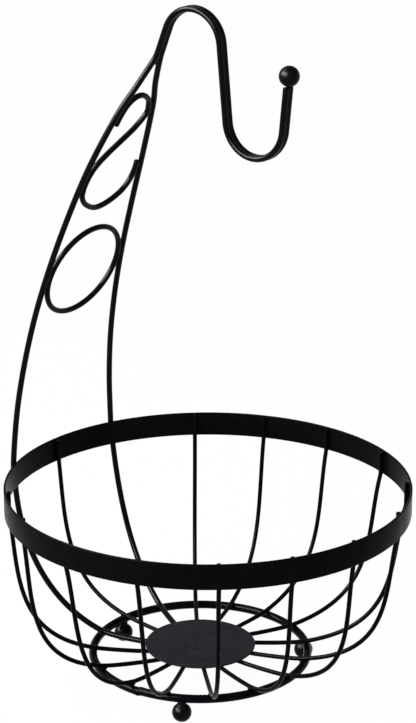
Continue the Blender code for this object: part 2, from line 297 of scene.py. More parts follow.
def noiseField(tree, scaleSocket, detail, factor=1.0):
    place = tree.nodes.new("ShaderNodeTexCoord")
    field = tree.nodes.new("ShaderNodeTexNoise")
    field.inputs["Detail"].default_value = detail
    tree.links.new(place.outputs["Object"], field.inputs["Vector"])
    tree.links.new(mathNode(tree, "MULTIPLY", scaleSocket, factor), field.inputs["Scale"])
    return field.outputs["Fac"]


def spread(tree, value, low, high):
    # runs from 0 to 1 between low and high, and stays level outside them
    node = tree.nodes.new("ShaderNodeMapRange")
    node.inputs["From Min"].default_value = low
    node.inputs["From Max"].default_value = high
    tree.links.new(value, node.inputs["Value"])
    return node


def mixColour(tree, factor, first, second):
    node = tree.nodes.new("ShaderNodeMix")
    node.data_type = "RGBA"
    tree.links.new(factor, node.inputs["Factor"])
    for socket, value in ((node.inputs["A"], first), (node.inputs["B"], second)):
        if isinstance(value, tuple):
            socket.default_value = (*value, 1)
        else:
            tree.links.new(value, socket)
    return node.outputs["Result"]


def makeOrangePeel():
    # the fine ripple of a baked powder coat, with a few grains under the skin
    group, entry, leave = newGroup(
        "orangePeel",
        [("Ripple Scale", "NodeSocketFloat", 700), ("Grain Scale", "NodeSocketFloat", 1800),
         ("Grain Amount", "NodeSocketFloat", 0.3)],
        [("Height", "NodeSocketFloat")],
    )
    ripple = noiseField(group, entry.outputs["Ripple Scale"], detail=2)
    grain = noiseField(group, entry.outputs["Grain Scale"], detail=1)
    grains = mathNode(group, "MULTIPLY", grain, entry.outputs["Grain Amount"])
    group.links.new(mathNode(group, "ADD", ripple, grains), leave.inputs["Height"])
    return group


def makeCoatTone():
    # slow drifts of tone and gloss over the coat
    group, entry, leave = newGroup(
        "coatTone",
        [("Deep", "NodeSocketColor", (0.004, 0.004, 0.005, 1)),
         ("Pale", "NodeSocketColor", (0.008, 0.008, 0.010, 1)),
         ("Patch Scale", "NodeSocketFloat", 40), ("Gloss Low", "NodeSocketFloat", 0.3),
         ("Gloss High", "NodeSocketFloat", 0.45)],
        [("Color", "NodeSocketColor"), ("Roughness", "NodeSocketFloat")],
    )
    drift = noiseField(group, entry.outputs["Patch Scale"], detail=3)
    patch = noiseField(group, entry.outputs["Patch Scale"], detail=5, factor=coatField["finePatch"])
    both = mathNode(group, "MULTIPLY", mathNode(group, "ADD", drift, patch), 0.5)
    gloss = spread(group, both, coatField["low"], coatField["high"])
    group.links.new(entry.outputs["Gloss Low"], gloss.inputs["To Min"])
    group.links.new(entry.outputs["Gloss High"], gloss.inputs["To Max"])
    group.links.new(gloss.outputs["Result"], leave.inputs["Roughness"])
    tone = spread(group, both, coatField["low"], coatField["high"])
    shade = mixColour(group, tone.outputs["Result"], entry.outputs["Deep"], entry.outputs["Pale"])
    group.links.new(shade, leave.inputs["Color"])
    return group


def makeRestDust():
    # a thin film of dust that settles on what faces up
    group, entry, leave = newGroup(
        "restDust",
        [("Color", "NodeSocketColor", (0, 0, 0, 1)),
         ("Dust", "NodeSocketColor", (0.06, 0.058, 0.055, 1)),
         ("Amount", "NodeSocketFloat", 0.1), ("Speck Scale", "NodeSocketFloat", 900)],
        [("Color", "NodeSocketColor")],
    )
    facing = group.nodes.new("ShaderNodeNewGeometry")
    split = group.nodes.new("ShaderNodeSeparateXYZ")
    group.links.new(facing.outputs["Normal"], split.inputs[0])
    lying = spread(group, split.outputs["Z"], coatField["dustLean"], 1)
    film = noiseField(group, entry.outputs["Speck Scale"], detail=4)
    settled = mathNode(group, "MULTIPLY", film, lying.outputs["Result"])
    thick = mathNode(group, "MULTIPLY", settled, entry.outputs["Amount"])
    dusty = mixColour(group, thick, entry.outputs["Color"], entry.outputs["Dust"])
    group.links.new(dusty, leave.inputs["Color"])
    return group


def placeGroup(tree, group, values):
    node = tree.nodes.new("ShaderNodeGroup")
    node.node_tree = group
    for label, value in values.items():
        node.inputs[label].default_value = (*value, 1) if isinstance(value, tuple) else value
    return node


def makeCoat(name, look):
    material = bpy.data.materials.new(name)
    material.use_nodes = True
    tree = material.node_tree
    shader = tree.nodes["Principled BSDF"]
    shader.inputs["Metallic"].default_value = 0
    shader.inputs["IOR"].default_value = 1.5
    shader.inputs["Specular IOR Level"].default_value = look["gleam"]
    tone = placeGroup(tree, coatTone, {
        "Deep": look["deep"],
        "Pale": look["pale"],
        "Patch Scale": look["patchScale"],
        "Gloss Low": look["smooth"],
        "Gloss High": look["rough"],
    })
    dust = placeGroup(tree, restDust, {"Amount": look["dust"], "Speck Scale": look["speckScale"]})
    peel = placeGroup(tree, orangePeel, {
        "Ripple Scale": look["rippleScale"],
        "Grain Scale": look["grainScale"],
        "Grain Amount": look["grain"],
    })
    bump = tree.nodes.new("ShaderNodeBump")
    bump.inputs["Strength"].default_value = look["peel"]
    bump.inputs["Distance"].default_value = look["peelDepth"]
    tree.links.new(peel.outputs["Height"], bump.inputs["Height"])
    tree.links.new(tone.outputs["Color"], dust.inputs["Color"])
    tree.links.new(dust.outputs["Color"], shader.inputs["Base Color"])
    tree.links.new(tone.outputs["Roughness"], shader.inputs["Roughness"])
    tree.links.new(bump.outputs["Normal"], shader.inputs["Normal"])
    material.diffuse_color = (*look["pale"], 1)
    return material


def dress(piece, coat, slotName="black_coat", *nodes):
    piece.data.materials.append(coat)
    if nodes:
        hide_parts(*nodes)
    return piece


wireLook = {
    "deep": (0.0012, 0.0010, 0.0024),
    "pale": (0.0024, 0.0022, 0.0038),
    "patchScale": 60,
    "gleam": 0.018,
    "smooth": 0.22,
    "rough": 0.32,
    "dust": 0.02,
    "speckScale": 1400,
    "rippleScale": 900,
    "grainScale": 2600,
    "grain": 0.4,
    "peel": 0.03,
    "peelDepth": 0.0002,
}
hangerLook = {"gleam": 0.046, "smooth": 0.17, "rough": 0.21, "peel": 0.006, "patchScale": 35}
ornamentLook = {"gleam": 0.042, "smooth": 0.20, "rough": 0.26, "peel": 0.015, "patchScale": 80}
ringLook = {"gleam": 0.023, "smooth": 0.18, "rough": 0.24, "peel": 0.01, "patchScale": 30}
ballLook = {"gleam": 0.046, "smooth": 0.26, "rough": 0.30, "peel": 0.004, "patchScale": 90}
weldLook = {"smooth": 0.34, "rough": 0.5, "peel": 0.6, "rippleScale": 1300}
bandLook = {
    "deep": (0.0020, 0.0020, 0.0021),
    "pale": (0.0032, 0.0032, 0.0033),
    "gleam": 0.013,
    "smooth": 0.24,
    "rough": 0.32,
    "patchScale": 22,
    "rippleScale": 520,
}
plateLook = {
    "deep": (0.0115, 0.0127, 0.0153),
    "pale": (0.0182, 0.0196, 0.0228),
    "patchScale": 26,
    "gleam": 0.018,
    "smooth": 0.56,
    "rough": 0.68,
    "dust": 0.05,
    "peel": 0.45,
    "rippleScale": 620,
}
orangePeel = makeOrangePeel()
coatTone = makeCoatTone()
restDust = makeRestDust()
ribCoat = makeCoat("ribCoat", wireLook)
hangerCoat = makeCoat("hangerCoat", {**wireLook, **hangerLook})
ornamentCoat = makeCoat("ornamentCoat", {**wireLook, **ornamentLook})
ringCoat = makeCoat("ringCoat", {**wireLook, **ringLook})
ballCoat = makeCoat("ballCoat", {**wireLook, **ballLook})
weldCoat = makeCoat("weldCoat", {**wireLook, **weldLook})
bandCoat = makeCoat("bandCoat", {**wireLook, **bandLook})
plateCoat = makeCoat("plateCoat", {**wireLook, **plateLook})
print("coats mixed")


# Rim band

rimBand = {
    "stations": 288,
    "cornerRadius": 0.00045,
    "cornerSteps": 4,
    "jointTurn": 131,  # where the strip's two ends are butted
    "jointBulge": 0.00018,
    "jointBulgeWidth": 0.0018,
    "jointGroove": 0.00022,
    "jointGrooveWidth": 0.00045,
    "jointArcs": (0.00015, 0.0003, 0.0005, 0.0008, 0.0012, 0.0018, 0.0025, 0.0035),  # closer rows there
    "weldPull": 0.00010,  # how far each weld draws the strip in
    "weldPullWidth": 0.004,
}


def hump(distance, width):
    return math.exp(-(distance / width) ** 2)


def bandOffset(turn, ribTurns):
    # how far the strip stands in or out, from its butt joint and from the pull of each weld
    arc = bowl["rimRadius"] * math.radians((turn - rimBand["jointTurn"] + 180) % 360 - 180)
    offset = rimBand["jointBulge"] * hump(arc, rimBand["jointBulgeWidth"])
    offset -= (rimBand["jointBulge"] + rimBand["jointGroove"]) * hump(arc, rimBand["jointGrooveWidth"])
    for ribTurn in ribTurns:
        arc = bowl["rimRadius"] * math.radians((turn - ribTurn + 180) % 360 - 180)
        offset -= rimBand["weldPull"] * hump(arc, rimBand["weldPullWidth"])
    return offset


def makeBand(ribTurns):
    jointArcs = [-arc for arc in reversed(rimBand["jointArcs"])] + [0, *rimBand["jointArcs"]]
    jointTurns = [rimBand["jointTurn"] + math.degrees(arc / bowl["rimRadius"]) for arc in jointArcs]
    step = 360 / rimBand["stations"]
    turns = [jointTurns[-1] + step * count for count in range(1, rimBand["stations"])]
    turns = jointTurns + [turn for turn in turns if turn < jointTurns[0] + 360 - step / 2]
    radius = rimBand["cornerRadius"]
    outer, inner = bowl["rimRadius"] - radius, bowl["rimRadius"] - bowl["bandThickness"] + radius
    low, high = bandBottom + radius, bowl["height"] - radius
    corners = ((low, outer, -90), (high, outer, 0), (high, inner, 90), (low, inner, 180))
    outline = []
    for height, middle, firstAngle in corners:
        for count in range(rimBand["cornerSteps"] + 1):
            angle = math.radians(firstAngle + 90 * count / rimBand["cornerSteps"])
            outline.append((middle + radius * math.cos(angle), height + radius * math.sin(angle)))
    work = bmesh.new()
    rows = []
    for turn in turns:
        offset = bandOffset(turn, ribTurns)
        section = [around(Vector(), across + offset, turn, height) for across, height in outline]
        rows.append([work.verts.new(place) for place in section])
    loftRows(work, rows, True)
    return finishMesh("rimBand", work)


# Ribs

ribs = {
    "wire": 0.0030,
    "topDrop": 0.0007,  # how far a rib's top stays under the band's; some ribs were set lower
    "lowTops": {3: 0.0013, 4: 0.0018, 8: 0.0009, 9: 0.0010},
    "topSteps": 4,
    # turns at the band, the base ring and the plate's edge, and the lean under the band, in degrees
    "bends": [
        (0.1, -3.4, -2.7, 6.2), (44.5, 42.8, 48.6, 7.6), (64.4, 65.6, 72.1, 7.4), (85.6, 90.1, 90.2, 14.3),
        (108.7, 111.3, 108.9, 17.5), (130.9, 133.6, 132.4, 12.4), (151.2, 155.1, 152.1, 10.7),
        (171.7, 177.7, 177.6, 9.9), (196.1, 199.5, 201.7, 11.6), (218.8, 221.2, 227.9, 14.8),
        (243.7, 243.5, 248.1, 14.7), (268.7, 267.2, 268.9, 13.4), (290.4, 289.7, 291.8, 13.9),
        (312.1, 310.9, 311.8, 11.9),
    ],
    "shape": {"floorSlope": 11.5, "floorPull": 1.01, "sidePull": 0.42, "dishPull": 0.22},
}
ringWelds, plateWelds, rimWelds = [], [], []  # filled as the wires are made, and welded at the end


def makeRibs():
    sideRadius = bowl["rimRadius"] - bowl["bandThickness"] - bowl["weldGap"] - ribs["wire"] / 2
    for number, bends in enumerate(ribs["bends"], 1):
        path, crossing, uphill, underPlate, spoke = bowlWirePath(
            ribs["wire"], sideRadius, bends, ribs["shape"]
        )
        topHeight = bowl["height"] - ribs["lowTops"].get(number, ribs["topDrop"])
        top = around(Vector(), sideRadius, bends[0], topHeight)
        path += [path[-1].lerp(top, step / ribs["topSteps"]) for step in range(1, ribs["topSteps"] + 1)]
        rib = sweepWire(f"rib{number:02d}", path, ribs["wire"])
        dress(rib, ribCoat, "black_coat", f"rib_{number:02d}")
        ringWelds.append((crossing, uphill, ribs["wire"]))
        plateWelds.append((underPlate, spoke, ribs["wire"]))
        rimWelds.append((bends[0], sideRadius + ribs["wire"] / 2, ribs["wire"]))


makeRibs()
dress(makeBand([bends[0] for bends in ribs["bends"]]), bandCoat, "black_coat", "rim_band")
print("band and ribs made")


# Hanger wires

hanger = {
    "wire": 0.0040,
    "halfAngle": 21.7,
    "meetRise": 0.2817,
    "meetReach": 0.0397,
    "meetBend": 0.003,
    "meetClear": 1.15,  # places nearer to the meeting than this many bend lengths give way to the bend
    # shares of the rise, of the reach and of the spread, from the rim to where the two wires meet
    "shares": [
        (0.124, 0.021, 0.941), (0.247, 0.076, 0.871), (0.371, 0.165, 0.800), (0.494, 0.285, 0.720),
        (0.618, 0.430, 0.629), (0.741, 0.591, 0.514), (0.865, 0.775, 0.324), (0.93, 0.880, 0.152), (1, 1, 0),
    ],
    "leftBends": (20.9, 21.4, 24.6, 2.9),  # as the ribs' bends
    "rightBends": (-22.3, -27.4, -25.6, 11.9),
    "shape": {"floorSlope": 21, "floorPull": 0.76, "sidePull": 0.385, "dishPull": 0.22},
    "riseLean": 22,  # degrees from upright, as legLean is
    "legLean": 5.7,
    "riseLength": 0.0206,
    "topBend": 0.0222,
    "dropLength": 0.0487,
    "seatBend": 0.0220,
    "tipLength": 0.0285,
    "sides": 20,
    "riseSteps": 9,
    "meetSteps": 9,
    "bendSteps": 40,
    "straightSteps": 10,
}
hangerRadius = bowl["rimRadius"] + bowl["weldGap"] + hanger["wire"] / 2
pairOffset = (hanger["wire"] + bowl["weldGap"]) / 2


def hangerRise():
    # (spread, reach, height) from the band's lower edge to where the two wires meet
    halfAngle = math.radians(hanger["halfAngle"])
    spread, reach = hangerRadius * math.sin(halfAngle), hangerRadius * math.cos(halfAngle)
    corners = [Vector((spread, reach, bandBottom)), Vector((spread, reach, bowl["height"]))]
    for riseShare, reachShare, spreadShare in hanger["shares"]:
        corners.append(Vector((
            pairOffset + spreadShare * (spread - pairOffset),
            reach + reachShare * (hanger["meetReach"] - reach),
            bowl["height"] + riseShare * hanger["meetRise"],
        )))
    return smoothRun(corners, hanger["riseSteps"])


risePoints = hangerRise()


def hangerAt(rise):
    # place and direction, (spread, reach, height), at a height above the rim
    height = bowl["height"] + rise
    index = max(number for number, point in enumerate(risePoints[:-1]) if point.z <= height)
    low, high = risePoints[index], risePoints[index + 1]
    partWay = (height - low.z) / (high.z - low.z)
    before, after = risePoints[index - 1], risePoints[min(index + 2, len(risePoints) - 1)]
    return low.lerp(high, partWay), (high - before).lerp(after - low, partWay).normalized()


def heading(angle):
    # (reach, height) of a way that leans from upright towards the hook by an angle
    return Vector((-math.sin(angle), math.cos(angle)))


def hookBend(start, firstAngle, lastAngle, radius):
    side = 1 if lastAngle > firstAngle else -1
    centre = start - side * radius * Vector((math.cos(firstAngle), math.sin(firstAngle)))
    points = []
    for step in range(1, hanger["bendSteps"] + 1):
        angle = firstAngle + (lastAngle - firstAngle) * step / hanger["bendSteps"]
        points.append(centre + side * radius * Vector((math.cos(angle), math.sin(angle))))
    return points


def straightRun(start, length, angle):
    steps = hanger["straightSteps"]
    return [start + length * step / steps * heading(angle) for step in range(1, steps + 1)]


def hookPath():
    # (reach, height) from the meeting to the tip
    rise = math.radians(hanger["riseLean"])
    drop = math.pi - math.radians(hanger["legLean"])
    tip = math.radians(hanger["legLean"])
    path = [Vector((hanger["meetReach"], bowl["height"] + hanger["meetRise"]))]
    path += straightRun(path[-1], hanger["riseLength"], rise)
    path += hookBend(path[-1], rise, drop, hanger["topBend"])
    path += straightRun(path[-1], hanger["dropLength"], drop)
    path += hookBend(path[-1], drop, tip, hanger["seatBend"])
    path += straightRun(path[-1], hanger["tipLength"], tip)
    return path


def makeHangerWire(name, node, side, bends):
    path, crossing, uphill, underPlate, spoke = bowlWirePath(
        hanger["wire"], hangerRadius, bends, hanger["shape"]
    )
    rise = [Vector((side * place.x, place.y, place.z)) for place in risePoints]
    # beside the band the wire turns from its own place there to its place in the hanger
    slant = math.radians(bends[0] + side * hanger["halfAngle"])
    for step in range(hanger["riseSteps"]):
        rise[step].rotate(Quaternion((0, 0, 1), slant * (1 - step / hanger["riseSteps"])))
    hook = [Vector((side * pairOffset, place.x, place.y)) for place in hookPath()]
    corner = hook[0]
    low = corner + hanger["meetBend"] * (rise[-2] - corner).normalized()
    high = corner + hanger["meetBend"] * (hook[1] - corner).normalized()
    clear = hanger["meetBend"] * hanger["meetClear"]
    below = [place for place in rise if (place - corner).length > clear]
    above = [place for place in hook if (place - corner).length > clear]
    meeting = bezier(low, low.lerp(corner, 2 / 3), high.lerp(corner, 2 / 3), high, hanger["meetSteps"])
    wire = sweepWire(name, path[:-1] + below + meeting + above, hanger["wire"], sides=hanger["sides"])
    dress(wire, hangerCoat, "black_coat", node)
    ringWelds.append((crossing, uphill, hanger["wire"]))
    plateWelds.append((underPlate, spoke, hanger["wire"]))
    rimWelds.append((bends[0], bowl["rimRadius"], hanger["wire"]))


makeHangerWire("hangerWireLeft", "hanger_wire_left", -1, hanger["leftBends"])
makeHangerWire("hangerWireRight", "hanger_wire_right", 1, hanger["rightBends"])


# Coat that bridges the groove between the two hook wires, on both faces, and the weld where they meet

hookJoin = {
    "bridgeWire": 0.0016,
    "bridgeSide": 0.00095,  # how far each bridge lies from the wires' middles
    "bridgeCut": 0.0003,
    "bridgeSides": 12,
    "crotchDrop": 0.0022,
    "lowBead": (0.0046, 0.0021, 0.0015),
    "highBead": (0.005, 0.0016, 0.0020),
    "highBeadRise": 0.004,
}


def makeHookJoin():
    places = hookPath()
    for name, sign in (("hookBridgeOuter", 1), ("hookBridgeInner", -1)):
        path = []
        for index, place in enumerate(places):
            ahead, behind = places[min(index + 1, len(places) - 1)], places[max(index - 1, 0)]
            along = (ahead - behind).normalized()
            outward = Vector((along.y, -along.x)) * sign
            aside = hookJoin["bridgeSide"]
            path.append(Vector((0, place.x + aside * outward.x, place.y + aside * outward.y)))
        bridge = sweepWire(
            name, path, hookJoin["bridgeWire"], sides=hookJoin["bridgeSides"], cutBevel=hookJoin["bridgeCut"]
        )
        dress(bridge, hangerCoat)
    work = bmesh.new()
    meet, along = hangerAt(hanger["meetRise"] - hookJoin["crotchDrop"])
    crotch = Vector((0, meet.y, meet.z))
    uphill = Vector((0, along.y, along.z)).normalized()
    facing = Vector((1, 0, 0)).cross(uphill)
    addBead(work, crotch, uphill, facing, hookJoin["lowBead"], 1)
    addBead(work, crotch + hookJoin["highBeadRise"] * uphill, uphill, facing, hookJoin["highBead"], 2)
    dress(finishMesh("meetingWeld", work), weldCoat)


makeHookJoin()
print("hanger made")


# Oval ring and scroll between the hanger wires

ornaments = {
    "wire": 0.0038,
    "ovalShare": 0.4555,  # heights of the ornaments are shares of the hanger's rise
    "ovalLength": 0.0611,
    "ovalTilt": 20,
    "ovalSteps": 108,
    "fitSteps": 40,  # halvings that find the oval's width
    "scrollLow": 0.6219,
    "scrollHigh": 0.9016,
    "scrollSteps": 7,
    # shares of the scroll's height and of the half width between the hanger wires, left positive
    "scrollShares": [
        (0.765, 0.93), (0.86, 0.97), (0.945, 0.92), (0.995, 0.50), (0.995, -0.25), (0.945, -0.86),
        (0.87, -0.98), (0.80, -0.90), (0.69, -0.38), (0.593, 0.16), (0.50, 0.60), (0.411, 0.88),
        (0.32, 0.98), (0.22, 0.98), (0.132, 0.88), (0.054, 0.62), (0.0, 0.22), (0.02, -0.20),
        (0.086, -0.60), (0.17, -0.84), (0.26, -0.95), (0.35, -0.98),
    ],
    "bead": (0.0030, 0.0014, 0.0014),
    "beadReach": 0.0004,  # a bead goes wherever the gap to a hanger wire is no wider than this
    "beadSpacing": 0.0024,
    "beadSeedScale": 900,
}
ornamentOffset = (hanger["wire"] + ornaments["wire"]) / 2 + bowl["weldGap"]


def ovalReach(halfWidth, halfLength, angle):
    # how far a tilted oval reaches from its middle
    return math.hypot(halfWidth * math.cos(angle), halfLength * math.sin(angle))


def makeOval():
    # an oval of a given length and tilt, made just wide enough to touch both hanger wires
    centre, along = hangerAt(ornaments["ovalShare"] * hanger["meetRise"])
    uphill = Vector((0, along.y, along.z)).normalized()
    squeeze = math.atan2(-along.x, Vector((along.y, along.z)).length)
    tilt = math.radians(ornaments["ovalTilt"])
    halfLength = ornaments["ovalLength"] / 2
    reach = centre.x * math.cos(squeeze) - ornamentOffset
    narrow, wide = 0, 2 * reach
    for _ in range(ornaments["fitSteps"]):
        halfWidth = (narrow + wide) / 2
        right = ovalReach(halfWidth, halfLength, squeeze - tilt)
        left = ovalReach(halfWidth, halfLength, squeeze + tilt)
        if right + left > 2 * reach:
            wide = halfWidth
        else:
            narrow = halfWidth
    middle = Vector(((reach - right) / math.cos(squeeze), centre.y, centre.z))
    points = []
    for step in range(ornaments["ovalSteps"]):
        turn = math.tau * step / ornaments["ovalSteps"]
        across, rise = halfWidth * math.cos(turn), halfLength * math.sin(turn)
        sideways = across * math.cos(tilt) - rise * math.sin(tilt)
        climb = across * math.sin(tilt) + rise * math.cos(tilt)
        points.append(middle + Vector((sideways, 0, 0)) + climb * uphill)
    oval = sweepWire("ovalRing", points, ornaments["wire"], closed=True)
    dress(oval, ornamentCoat, "black_coat", "oval_ring")
    return points


def makeScroll():
    corners = []
    for heightShare, widthShare in ornaments["scrollShares"]:
        riseShare = ornaments["scrollLow"] + heightShare * (ornaments["scrollHigh"] - ornaments["scrollLow"])
        place, along = hangerAt(riseShare * hanger["meetRise"])
        upright = Vector((along.y, along.z)).length
        halfWidth = place.x - ornamentOffset / upright
        corners.append(Vector((-widthShare * halfWidth, place.y, place.z)))
    path = smoothRun(corners, ornaments["scrollSteps"])
    dress(sweepWire("scrollWire", path, ornaments["wire"]), ornamentCoat, "black_coat", "scroll")
    return path


def addTouchBeads(work, path, seed):
    # weld metal wherever the path runs within a hair of a hanger wire
    last = None
    for place in path:
        if not bandBottom < place.z < bowl["height"] + hanger["meetRise"]:
            continue
        beside, along = hangerAt(place.z - bowl["height"])
        side = 1 if place.x > 0 else -1
        upright = Vector((along.y, along.z)).length
        gap = (beside.x - abs(place.x)) * upright - ornamentOffset
        if gap > ornaments["beadReach"]:
            continue
        if last is not None and (place - last).length < ornaments["beadSpacing"]:
            continue
        last = place
        middle = Vector((side * beside.x, beside.y, beside.z)).lerp(place, 0.5)
        direction = Vector((side * along.x, along.y, along.z))
        facing = direction.cross(Vector((1, 0, 0)))
        placeSeed = seed + place.z * ornaments["beadSeedScale"]
        addBead(work, middle, direction, facing, ornaments["bead"], placeSeed)


ovalPoints = makeOval()
scrollPoints = makeScroll()
ornamentWork = bmesh.new()
addTouchBeads(ornamentWork, ovalPoints, seed=3)
addTouchBeads(ornamentWork, scrollPoints, seed=7)
dress(finishMesh("ornamentWelds", ornamentWork), weldCoat)
print("ornaments made")


# Base ring, with its two ends butted a little out of line

baseRing = {
    "stations": 240,
    "sides": 20,
    "jointTurn": 95.3,
    "jointArc": 0.0004,  # length of each fine step beside the joint, and width of the jog there
    "jointSteps": 11,
    "jointStandOut": 0.0007,
    "jointSag": 0.0003,
    "jointFade": 0.045,
    "jointSwell": 0.07,
    "jointSwellWidth": 0.0022,
    "jointNotch": 0.09,
    "jointNotchWidth": 0.0005,
}


def makeBaseRing():
    fine = [count * baseRing["jointArc"] for count in range(1, baseRing["jointSteps"] + 1)]
    arcs = [-arc for arc in reversed(fine)] + [0] + fine
    ringLength = math.tau * bowl["ringRadius"]
    step = ringLength / baseRing["stations"]
    arc = arcs[-1] + step
    while arc < ringLength + arcs[0] - step / 2:
        arcs.append(arc)
        arc += step
    points, swells = [], []
    for arc in arcs:
        distance = arc if arc < ringLength / 2 else arc - ringLength
        turn = baseRing["jointTurn"] + math.degrees(arc / bowl["ringRadius"])
        fade = (1 - math.tanh(distance / baseRing["jointArc"])) / 2
        fade *= math.exp(-abs(distance) / baseRing["jointFade"])
        radius = bowl["ringRadius"] + baseRing["jointStandOut"] * fade
        height = bowl["ringHeight"] - baseRing["jointSag"] * fade
        points.append(around(bowl["ringCentre"], radius, turn, height))
        swell = 1 + baseRing["jointSwell"] * hump(distance, baseRing["jointSwellWidth"])
        swells.append(swell - baseRing["jointNotch"] * hump(distance, baseRing["jointNotchWidth"]))
    ring = sweepWire(
        "baseRing", points, bowl["ringWire"], closed=True, sides=baseRing["sides"], swells=swells
    )
    dress(ring, ringCoat, "black_coat", "base_ring")


makeBaseRing()


# Centre plate

centrePlate = {
    "segments": 160,
    "edgeRadius": 0.00045,
    "edgeSteps": 4,
    "middleHole": 0.0004,  # the innermost row underneath, closed by one small face
    "crown": 0.00012,
    "crownDrop": 0.00002,  # lets the crown start just under the top edge
    "crownShares": (0.95, 0.8, 0.6, 0.4, 0.2, 0.02),
}


def makePlate():
    radius, edge = bowl["plateRadius"], centrePlate["edgeRadius"]
    profile = [(place, plateBottom) for place in (centrePlate["middleHole"], radius * 0.5, radius - edge * 4)]
    for sign, height in ((-1, plateBottom + edge), (1, bowl["plateTop"] - edge)):
        for count in range(centrePlate["edgeSteps"] + 1):
            angle = math.radians(90 * count / centrePlate["edgeSteps"] - (90 if sign < 0 else 0))
            profile.append((radius - edge + edge * math.cos(angle), height + edge * math.sin(angle)))
    for share in centrePlate["crownShares"]:
        lift = centrePlate["crown"] * (1 - share**2)
        profile.append((radius * share, bowl["plateTop"] + lift - centrePlate["crownDrop"]))
    plate = turnedBody("centrePlate", profile, centrePlate["segments"], bowl["ringCentre"], sharpAngle=60)
    dress(plate, plateCoat, "plate_coat", "centre_plate")


makePlate()


# Feet: balls with a weld neck that flares into the ring

feet = {
    "ball": 0.0129,
    "flatDepth": 0.00035,
    "neckWidth": 0.0058,
    "neckLength": 0.0004,
    "neckFillet": 0.0004,
    "neckWaist": 0.0002,
    "neckFlare": 0.0001,
    "neckSink": 0.0009,  # how far the neck's end runs on into the ring
    "segments": 40,
    "ballSteps": 28,
    "places": ((-4.1, 0), (118.6, 0), (-125, 0.0015)),  # turn, and how far out of the ring's line
}


def ballProfile(diameter, low, high, steps):
    first, last = math.asin(2 * low / diameter), math.asin(2 * high / diameter)
    points = []
    for step in range(steps + 1):
        angle = first + (last - first) * step / steps
        points.append((diameter / 2 * math.cos(angle), diameter / 2 * math.sin(angle)))
    return points


def makeFeet():
    ball = feet["ball"] / 2
    footHeight = ball - feet["flatDepth"]
    neck = feet["neckWidth"] / 2
    neckFoot = math.sqrt(ball**2 - neck**2)
    neckTop = ball + feet["neckLength"]
    fillet = feet["neckFillet"]
    profile = ballProfile(feet["ball"], -footHeight, neckFoot - fillet, feet["ballSteps"])
    profile += [(neck + feet["neckWaist"], neckFoot), (neck, neckFoot + fillet), (neck, neckTop)]
    profile.append((neck + feet["neckFlare"], neckTop + fillet))
    profile.append((neck - fillet, neckTop + fillet + feet["neckSink"]))
    for number, (turn, setOut) in enumerate(feet["places"], 1):
        place = around(bowl["ringCentre"], bowl["ringRadius"] + setOut, turn, footHeight)
        foot = turnedBody(f"footBall{number}", profile, feet["segments"], place, sharpAngle=55)
        dress(foot, ballCoat, "black_coat", f"foot_ball_{number}")


makeFeet()


# Hook ball

hookBall = {
    "ball": 0.0131,
    "segments": 44,
    "ballSteps": 32,
    "poleShare": 0.995,  # the rows between the poles reach this far up and down the ball
    "poleWidth": 0.0002,
    "collar": (0.0026, 0.0016, 0.0011),
    "collarShift": 0.0019,
    "collarRise": 0.0001,
}


def makeHookBall():
    tip = hookPath()[-1]
    lean = math.radians(hanger["legLean"])
    ball = hookBall["ball"] / 2
    centre = tip + (bowl["weldGap"] + ball) * heading(lean)
    place = Vector((0, centre.x, centre.y))
    reach = ball * hookBall["poleShare"]
    profile = ballProfile(hookBall["ball"], -reach, reach, hookBall["ballSteps"])
    profile = [(hookBall["poleWidth"], -ball), *profile, (hookBall["poleWidth"], ball)]
    piece = turnedBody("hookBall", profile, hookBall["segments"], place, lean)
    dress(piece, ballCoat, "black_coat", "hook_ball")
    work = bmesh.new()
    axis = Vector((0, heading(lean).x, heading(lean).y))
    collar = Vector((hookBall["collarShift"], tip.x, tip.y)) + hookBall["collarRise"] * axis
    addBead(work, collar, Vector((1, 0, 0)), axis, hookBall["collar"], 5)
    dress(finishMesh("hookBallWeld", work), weldCoat)


makeHookBall()
print("ring, plate and balls made")


# Welds in the bowl; half lengths and half depths, half widths as shares of the wire, and first seeds

bowlWelds = {
    "rim": {"length": 0.0066, "widthShare": 0.52, "depth": 0.0008, "seed": 0},
    "ring": {"length": 0.0020, "widthShare": 0.56, "depth": 0.0011, "seed": 20},
    "plate": {"length": 0.0034, "widthShare": 0.45, "depth": 0.0007, "seed": 40},
}


def makeWelds(where, seams):
    # seams: (place, direction along, facing, wire) of each weld
    look = bowlWelds[where]
    work = bmesh.new()
    for count, (place, along, facing, wire) in enumerate(seams):
        halfSizes = (look["length"], wire * look["widthShare"], look["depth"])
        addBead(work, place, along, facing, halfSizes, count + look["seed"])
    dress(finishMesh(f"{where}Welds", work), weldCoat)


def makeBowlWelds():
    middleHeight = bandBottom + bowl["bandHeight"] / 2
    seams = []
    for turn, radius, wire in rimWelds:
        place = around(Vector(), radius + bowl["weldGap"] / 2, turn, middleHeight)
        seams.append((place, up, around(Vector(), 1, turn), wire))
    makeWelds("rim", seams)
    seams = []
    for crossing, outward, wire in ringWelds:
        ringPlace = Vector((crossing.x, crossing.y, bowl["ringHeight"]))
        place = crossing.lerp(ringPlace, (wire / 2) / (crossing.z - bowl["ringHeight"]))
        seams.append((place, outward, up, wire))
    makeWelds("ring", seams)
    seams = []
    for place, outward, wire in plateWelds:
        seam = Vector((place.x, place.y, plateBottom - bowl["weldGap"] / 2))
        seams.append((seam, outward, up, wire))
    makeWelds("plate", seams)


makeBowlWelds()
print("welds made")


# Studio: white floor and sky, soft lamps, and the photograph's camera

